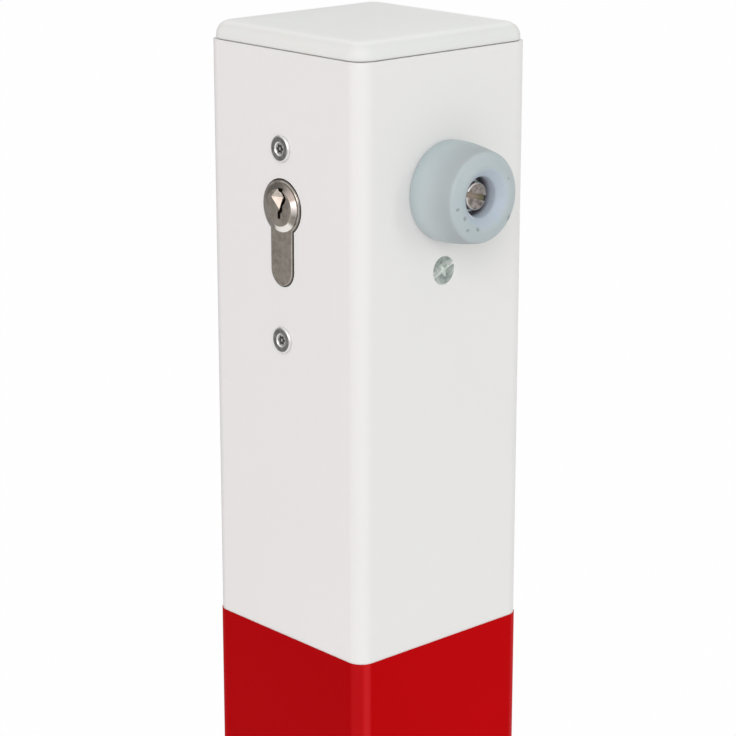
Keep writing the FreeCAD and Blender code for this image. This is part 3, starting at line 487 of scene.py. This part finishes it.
# Buffer screw: a slotted cheese-head screw, turned in brass and nickel plated, gone warm and dull but
# for its bright edge. The plate has worn through in its slot.
dull, shader, place = new_finish("dull_plate")
haze = grain(place, 500, 3)
out_of_face = axis(place, "X")
across = axis(place, "Y")
above = axis(place, "Z") - buffer_z
radius = hypotenuse(across, above)
wear_and_glint = 1.0 - rise(out_of_face, 0.0469, 0.0473)
plate = ramp(haze, (0.35, (0.17, 0.145, 0.13)), (0.5, (0.34, 0.30, 0.28)), (0.68, (0.50, 0.455, 0.43)))
plate = mix(rise(radius, 0.0038, 0.0041), plate, (0.86, 0.85, 0.83, 1))
floor_of_slot = mix(rise(across, -0.001, 0.0045), (0.40, 0.325, 0.265, 1), (0.19, 0.185, 0.10, 1))
feed(shader, {
    "Base Color": mix(wear_and_glint, plate, floor_of_slot),
    "Metallic": 1.0,
    "Roughness": 0.3 + haze * 0.2,
    "Normal": bump(haze, 0.00003, 0.5),
})


def cut(made, cutter):
    """Takes one shape out of another and removes the cutter."""
    bpy.ops.mesh.select_all(action="SELECT")
    bpy.ops.mesh.normals_make_consistent(inside=False)
    bpy.ops.object.mode_set(mode="OBJECT")
    bpy.ops.object.select_all(action="DESELECT")
    bpy.context.view_layer.objects.active = made
    made.select_set(True)
    hole = made.modifiers.new("hole", "BOOLEAN")
    hole.operation = "DIFFERENCE"
    hole.object = cutter
    bpy.ops.object.modifier_apply(modifier=hole.name)
    bpy.data.objects.remove(cutter)
    bpy.ops.object.mode_set(mode="EDIT")


head, shank, rise_of_head, length = 0.00425, 0.0025, 0.0033, 0.022
screw = turned("buffer_screw_turned", [
    (0.0, -length, 0.0), (shank - 0.0008, -length, 0.0), (shank, -length + 0.0008, 0.0), (shank, 0.0, 0.0),
    (head, 0.0, 0.0001), (head, rise_of_head - 0.0002, 0.0005), (head * 0.5, rise_of_head - 0.00005, 0.0),
    (0.0, rise_of_head, 0.0),
])
bpy.ops.object.mode_set(mode="OBJECT")
slot_width, slot_length, slot_depth, slot_turn = 0.0017, 0.012, 0.0014, -16.5
slot = start("slot_cutter", "cube", size=1.0, scale=(slot_width, slot_length, slot_depth * 2),
             location=(0.0, 0.0, rise_of_head), rotation=(0.0, 0.0, math.radians(slot_turn)))
cut(screw, slot)
head_seat = face_x + 0.01
stand(screw, (head_seat, 0.0, buffer_z), (0.0, math.radians(90), 0.0))
complete(screw, dull, "zinc_plate", "post", "buffer_screw", sharp=30.0)

# Security screws: pressed stainless steel screws with a low head and a pinned six-lobe recess. The rim
# of the head and the dish round the recess are coloured bright as painted glints, and the flat ring
# between them and the recess are coloured dark as painted shade.
between_screws, half_apart = 0.8343, 0.0298
stainless, shader, place = new_finish("stainless")
haze = grain(place, 600, 3)
from_axis = extent(axis(place, "Z") - between_screws) - half_apart
across = axis(place, "X")
radius = hypotenuse(across, from_axis)
screw_painted_shade_tone = ramp(haze, (0.3, (0.29, 0.28, 0.275)), (0.55, (0.40, 0.385, 0.375)), (0.75, (0.50, 0.48, 0.47)))
# The recess is left out of the bright dish so that it stays dark: painted shade.
recess = rise(axis(place, "Y"), -0.03535, -0.03515)
screw_painted_glint_share = (1.0 - rise(radius, 0.0020, 0.0024)) * (1.0 - recess) + rise(radius, 0.0034, 0.0037)
feed(shader, {
    "Base Color": mix(screw_painted_glint_share, screw_painted_shade_tone, (0.80, 0.79, 0.78, 1)),
    "Metallic": 1.0,
    "Roughness": 0.24 + haze * 0.15,
    "Normal": bump(haze, 0.00003, 0.5),
})
dress(stainless, "security_screws")

# Profile cylinder body: brass with a satin nickel plate, milled and ground in fine lines on its front,
# and coloured dark behind its front, where it sits in the post, as painted shade.


def satin_nickel(name, painted_shade_where, painted_highlight_where=None):
    """A warm satin plate, with where painted shade darkens it and where painted highlight brightens it."""
    finish, shader, place = new_finish(name)
    haze = grain(place, 420, 4, 0.65)
    ground = place.node("Mapping", {"Vector": place, "Scale": (200.0, 200.0, 5000.0)})
    lines = ground.node("TexNoise", {"Vector": ground, "Scale": 1.0, "Detail": 3.0})
    colour = ramp(haze * 0.7 + lines * 0.3, (0.34, (0.40, 0.35, 0.30)), (0.5, (0.60, 0.535, 0.47)),
                  (0.7, (0.72, 0.65, 0.585)))
    # Painted shade: a dark tone where the piece lies in shade.
    colour = mix(painted_shade_where(place), colour, (0.19, 0.17, 0.155, 1))
    if painted_highlight_where:
        # Painted highlight: a bright tone where the piece glints.
        colour = mix(painted_highlight_where(place), colour, (0.94, 0.91, 0.87, 1))
    feed(shader, {
        "Base Color": colour,
        "Metallic": 1.0,
        "Roughness": 0.2 + haze * 0.12 + lines * 0.08,
        "Normal": bump(lines, 0.00002, 0.6),
    })
    return finish


def behind(front):
    """Says how far a place lies behind a front plane: 0 on it, 1 behind it."""
    return lambda place: rise(axis(place, "Y"), front + 0.00006, front + 0.00016)


body_front = -0.0355
dress(satin_nickel("nickel_body", behind(body_front)), "cylinder_body")

# Cylinder plug: the core that the key turns, turned in brass and nickel plated, with a wide bevelled
# head. Four ground facets lead the key into its crooked way, and a groove at the tail holds the clip.
lock_z, head_back = 0.8461, -0.0350
plug_r, head_r, face_r, groove_r = 0.0065, 0.0076, 0.0057, 0.0056
tail, groove_low, groove_high, seat, face = -0.013, -0.0112, -0.0102, 0.0351, 0.03595
plug = turned("plug_turned", [
    (0.0, tail, 0.0), (plug_r, tail, 0.0003), (plug_r, groove_low, 0.0), (groove_r, groove_low, 0.0),
    (groove_r, groove_high, 0.0), (plug_r, groove_high, 0.0), (plug_r, seat, 0.0), (head_r, seat, 0.00008),
    (face_r, face, 0.00012), (0.0, face, 0.0),
])
bpy.ops.object.mode_set(mode="OBJECT")
deep, over, wide = 0.0015, 0.0004, 0.0037
funnel_x, funnel_above = 0.0003, 0.0031
funnel = start("funnel_cutter", "cone", vertices=4, radius1=0.0, radius2=wide * (deep + over) / deep,
               depth=deep + over, location=(funnel_x, funnel_above, face + (over - deep) / 2),
               scale=(1.0, 0.94, 1.0))
cut(plug, funnel)
bpy.ops.object.mode_set(mode="OBJECT")
way = draw("keyway_cutter", [
    (x / 1000, z / 1000, face + 0.001) for x, z in (
        (-0.3, 6.1), (-0.3, 5.0), (1.1, 4.1), (1.1, 2.6), (0.4, 1.6), (0.4, -0.4), (-0.5, -1.3), (-0.5, -3.4),
        (0.8, -3.4), (0.8, -1.8), (1.8, -0.8), (1.8, 0.8), (2.9, 1.9), (2.9, 4.2), (1.8, 5.2), (1.8, 6.1),
    )
], closed=True)
bpy.ops.mesh.select_all(action="SELECT")
bpy.ops.mesh.edge_face_add()
way_depth = 0.027
extrude(0.0, 0.0, -way_depth)
cut(plug, way)
stand(plug, (0.0, -0.0005, lock_z), (math.radians(90), 0.0, 0.0))


def on_bevel(place):
    """Says what lies on the plug's bevel, and what lies on the two arcs of it that get painted highlight."""
    across = axis(place, "X")
    above = axis(place, "Z") - lock_z
    radius = hypotenuse(across, above)
    turn = across.node("Math", {0: above, 1: across}, operation="ARCTAN2")
    arcs = 0.0
    for first, last in ((-0.2, 0.4), (-1.9, -0.75)):
        arcs = arcs + rise(turn, first - 0.12, first + 0.12) * (1.0 - rise(turn, last - 0.12, last + 0.12))
    bevel = rise(radius, face_r, face_r + 0.0002)
    return bevel, bevel * arcs


def plug_painted_shade(place):
    """Says where painted shade darkens the plug: behind its head, and on its bevel but for the two arcs."""
    bevel, arcs = on_bevel(place)
    return behind(head_back)(place) + (bevel - arcs) * 0.7


# Painted highlight: the two arcs on the plug's bevel are coloured bright.
def plug_painted_highlight(place):
    return on_bevel(place)[1] * (1.0 - behind(head_back)(place)) * 0.8


# The plug is coloured dark behind its head and on its bevel as painted shade, and bright on two arcs of the
# bevel as painted highlight.
nickel_plug = satin_nickel("nickel_plug", plug_painted_shade, plug_painted_highlight)
complete(plug, nickel_plug, "nickel", "lock_plug", "cylinder_plug", sharp=15.0)

# Fixing screw of the cylinder: a countersunk screw with a slot and a cross, zinc plated and gone
# mottled, with pale paint left in its slots.
mottled, shader, place = new_finish("mottled_zinc")
haze = grain(place, 420, 4, 0.65)
slots = 1.0 - rise(axis(place, "X"), 0.0343, 0.0346)
plate = ramp(haze, (0.34, (0.30, 0.345, 0.33)), (0.5, (0.46, 0.51, 0.49)), (0.66, (0.64, 0.68, 0.65)))
feed(shader, {
    "Base Color": mix(slots, plate, (0.82, 0.86, 0.82, 1)),
    "Metallic": 1.0 - slots * 0.9,
    "Roughness": 0.28 + haze * 0.25,
    "Normal": bump(haze, 0.00004, 0.5),
})
dress(mottled, "cylinder_screw")

# Stage: a plain pale floor that shows white to the camera and keeps the object's shadow, under a
# white sky and soft lamps. The camera stands about where the photographer stood.


def seen_share(tree):
    """1 for what the camera sees, straight or in a mirror or through glass, and 0 for other light."""
    path = tree.nodes.new("ShaderNodeLightPath")
    kinds = [Tone(tree, path.outputs[f"Is {kind} Ray"]) for kind in ("Camera", "Glossy", "Transmission")]
    return kinds[0] + kinds[1] + kinds[2]


bpy.ops.object.select_all(action="DESELECT")
bpy.ops.mesh.primitive_plane_add(size=60.0, location=(0.0, 0.0, -0.0005))
floor = bpy.context.object
floor.name = "floor"
floor_white = bpy.data.materials.new("floor_white")
floor_white.use_nodes = True
tree = floor_white.node_tree
matt = tree.nodes["Principled BSDF"]
matt.inputs["Base Color"].default_value = (0.95, 0.95, 0.95, 1.0)
matt.inputs["Roughness"].default_value = 0.9
glow = tree.nodes.new("ShaderNodeEmission")
# The floor glows less near the post, so it is a little darker round its foot, as painted shade, and the
# lamps' shadow shows there.
ground = Tone(tree, tree.nodes.new("ShaderNodeTexCoord").outputs["Object"])
away = ground.node("VectorMath", {0: ground}, out="Value", operation="LENGTH")
share = seen_share(tree) * (0.72 + rise(away, 0.3, 1.6) * 0.26)
both = tree.nodes.new("ShaderNodeMixShader")
tree.links.new(share.socket, both.inputs[0])
tree.links.new(matt.outputs[0], both.inputs[1])
tree.links.new(glow.outputs[0], both.inputs[2])
tree.links.new(both.outputs[0], tree.nodes["Material Output"].inputs["Surface"])
floor.data.materials.append(floor_white)

world = bpy.data.worlds.new("white_sky")
bpy.context.scene.world = world
world.use_nodes = True
tree = world.node_tree
sky = tree.nodes["Background"]
sky.inputs["Color"].default_value = (1.0, 1.0, 1.0, 1.0)
seen = seen_share(tree)
lit = seen.node("MapRange", {"Value": seen, "To Min": 0.67, "To Max": 1.0})
tree.links.new(lit.socket, sky.inputs["Strength"])


def lamp(name, place, aim, size, power, colour=(1.0, 1.0, 1.0)):
    """A soft box of a width and height that faces a point of the post."""
    bpy.ops.object.light_add(type="AREA", location=place)
    made = bpy.context.object
    made.name = name
    made.data.shape = "RECTANGLE"
    made.data.size, made.data.size_y = size
    made.data.energy = power
    made.data.color = colour
    made.rotation_euler = (Vector(aim) - Vector(place)).to_track_quat("-Z", "Y").to_euler()


middle = (0.0, 0.0, 0.8)
lamp("lamp_front", (1.5, -1.5, 2.0), middle, (1.2, 1.2), 17.0)
lamp("lamp_left", (-0.1, -2.0, 1.3), middle, (0.9, 1.3), 5.0, (1.0, 0.84, 0.84))
lamp("lamp_right", (1.9, 0.9, 1.3), middle, (0.3, 1.2), 4.5, (0.95, 1.0, 0.93))


def card(name, place, turn, size, shade):
    """A grey card that only metal and gloss mirror, so that they don't mirror white all round."""
    bpy.ops.mesh.primitive_plane_add(size=1.0, location=place, rotation=turn)
    made = bpy.context.object
    made.name = name
    made.scale = (*size, 1.0)
    grey = bpy.data.materials.new(name)
    grey.use_nodes = True
    tree = grey.node_tree
    glow = tree.nodes.new("ShaderNodeEmission")
    glow.inputs["Color"].default_value = (shade, shade, shade, 1.0)
    tree.links.new(glow.outputs[0], tree.nodes["Material Output"].inputs["Surface"])
    made.data.materials.append(grey)
    made.visible_camera = made.visible_diffuse = made.visible_transmission = made.visible_shadow = False


card("card_left", (-1.3, -0.4, 0.95), (0.0, math.radians(90), 0.0), (1.9, 3.2), 0.30)
card("card_front", (0.1, -1.6, 0.36), (math.radians(90), 0.0, 0.0), (1.4, 0.5), 0.25)
card("card_right", (1.45, 1.3, 0.6), (math.radians(90), 0.0, 0.0), (2.3, 1.2), 0.55)

bpy.ops.object.camera_add(
    location=(0.5590, -0.5084, 1.0060), rotation=(math.radians(90 - 16.04), 0.0, math.radians(47.71))
)
camera = bpy.context.object
camera.data.sensor_width = 36.0
camera.data.lens = 121.0
camera.data.clip_start = 0.05
camera.data.clip_end = 200.0
bpy.context.scene.camera = camera
bpy.context.scene.view_settings.view_transform = "Standard"
